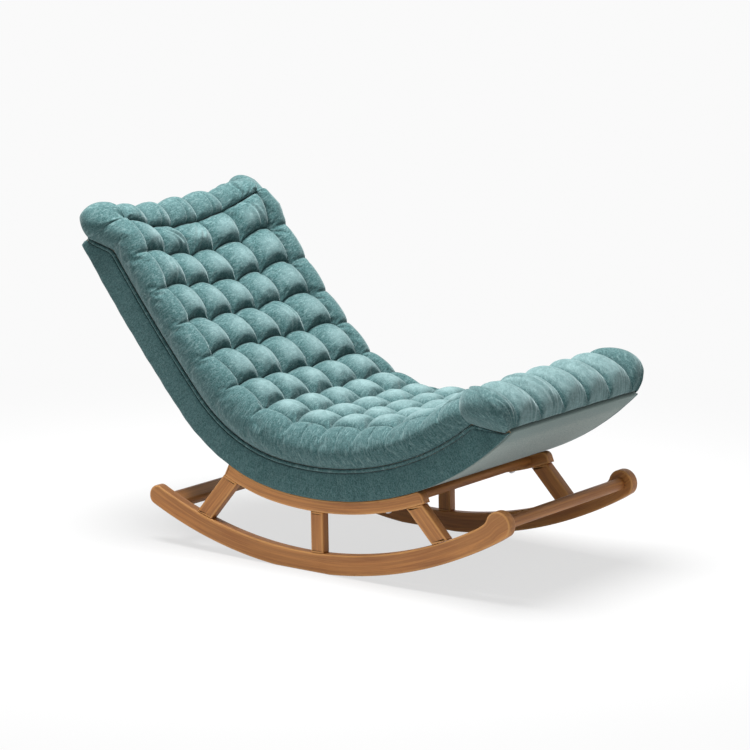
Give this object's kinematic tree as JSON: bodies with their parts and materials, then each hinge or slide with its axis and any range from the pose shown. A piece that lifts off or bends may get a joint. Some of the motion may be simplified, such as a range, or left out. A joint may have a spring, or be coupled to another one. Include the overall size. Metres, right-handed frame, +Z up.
{
  "type": "rocking chair",
  "caption": "Tufted teal velvet rocking lounge chair: a long curved upholstered seat on a wooden base with two curved runners and a round front bar.",
  "frame": {"origin": "bottom centre of the chair's bounding box, on the floor between the runners", "axes": "+X towards the front (foot end) of the chair, +Y to the sitter's left, +Z up"},
  "size_m": [1.2558, 0.6306, 0.8135],
  "materials": {
    "velvet": "matte",
    "wood": "satin",
    "plywood": "matte",
    "foam": "matte",
    "webbing": "matte",
    "steel": "satin"
  },
  "bodies": {
    "root": {"runner_right": "wood", "runner_left": "wood", "top_rail_right": "wood", "top_rail_left": "wood", "rear_post_right": "wood", "rear_post_left": "wood", "middle_post_right": "wood", "middle_post_left": "wood", "front_post_right": "wood", "front_post_left": "wood", "front_bar": "wood", "rear_stretcher": "wood", "front_cross_rail": "wood", "rear_cross_rail": "wood", "seat_bolt_right_1": "steel", "seat_bolt_right_2": "steel", "seat_bolt_left_1": "steel", "seat_bolt_left_2": "steel", "threaded_insert_right_1": "steel", "threaded_insert_right_2": "steel", "threaded_insert_left_1": "steel", "threaded_insert_left_2": "steel", "seat_frame_right": "plywood", "seat_frame_left": "plywood", "frame_slat_1": "plywood", "frame_slat_2": "plywood", "frame_slat_3": "plywood", "frame_slat_4": "plywood", "frame_slat_5": "plywood", "frame_slat_6": "plywood", "head_end_board": "plywood", "front_end_board": "plywood", "webbing_strap_1": "webbing", "webbing_strap_2": "webbing", "webbing_strap_3": "webbing", "webbing_strap_4": "webbing", "webbing_strap_5": "webbing", "webbing_strap_6": "webbing", "webbing_strap_7": "webbing", "webbing_strap_8": "webbing", "webbing_strap_9": "webbing", "webbing_strap_10": "webbing", "webbing_strap_11": "webbing", "webbing_strap_12": "webbing", "foam_pad": "foam", "underside_cover": "velvet", "side_band_right": "velvet", "side_band_left": "velvet", "welt_cord": "velvet", "tufted_cushion": "velvet"}
  },
  "joints": []
}
